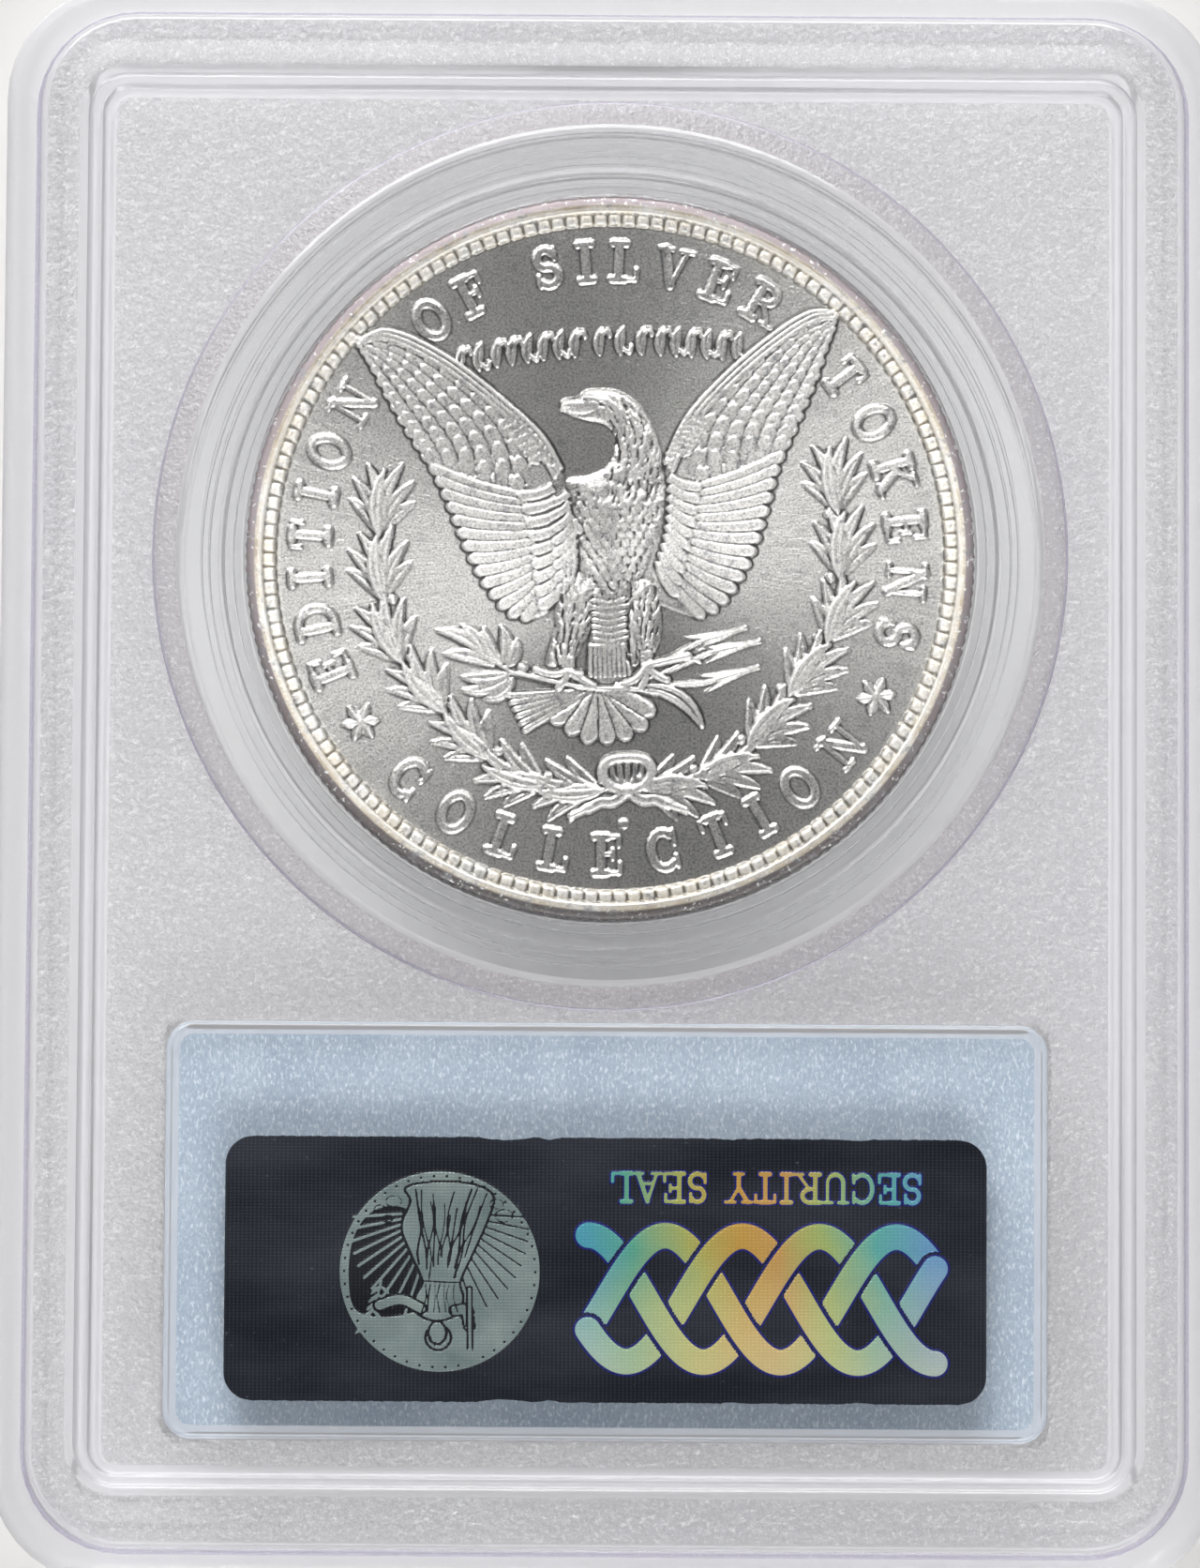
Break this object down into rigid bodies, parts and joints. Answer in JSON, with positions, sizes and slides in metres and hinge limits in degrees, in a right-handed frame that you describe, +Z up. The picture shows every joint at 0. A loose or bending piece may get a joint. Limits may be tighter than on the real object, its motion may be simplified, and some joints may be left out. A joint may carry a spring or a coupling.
{
  "type": "graded coin slab",
  "caption": "Sealed clear plastic coin holder with a frosted stacking rim, a round coin window and a rectangular label window, holding a silver coin and a paper label.",
  "frame": {"origin": "centre of the underside, on the plane of the front shell's stacking rim", "axes": "+Z up out of the back face, +Y along the length from the label towards the coin, +X across the width"},
  "size_m": [0.0636, 0.0834, 0.008],
  "materials": {
    "clear_shell": "clear moulded polystyrene, frosted on the rim and the face",
    "weld_plastic": "clear melted seam",
    "clear_ring": "clear soft gasket",
    "coin_silver": "minted silver, satin relief on a bright field",
    "label_paper": "pale blue-grey flecked paper",
    "sticker_foil": "dark woven foil film with iridescent marks"
  },
  "bodies": {
    "root": {"back_shell": "clear_shell", "front_shell": "clear_shell", "weld_bead": "weld_plastic", "coin_ring": "clear_ring", "coin": "coin_silver", "label_insert": "label_paper", "security_sticker": "sticker_foil"}
  },
  "joints": []
}
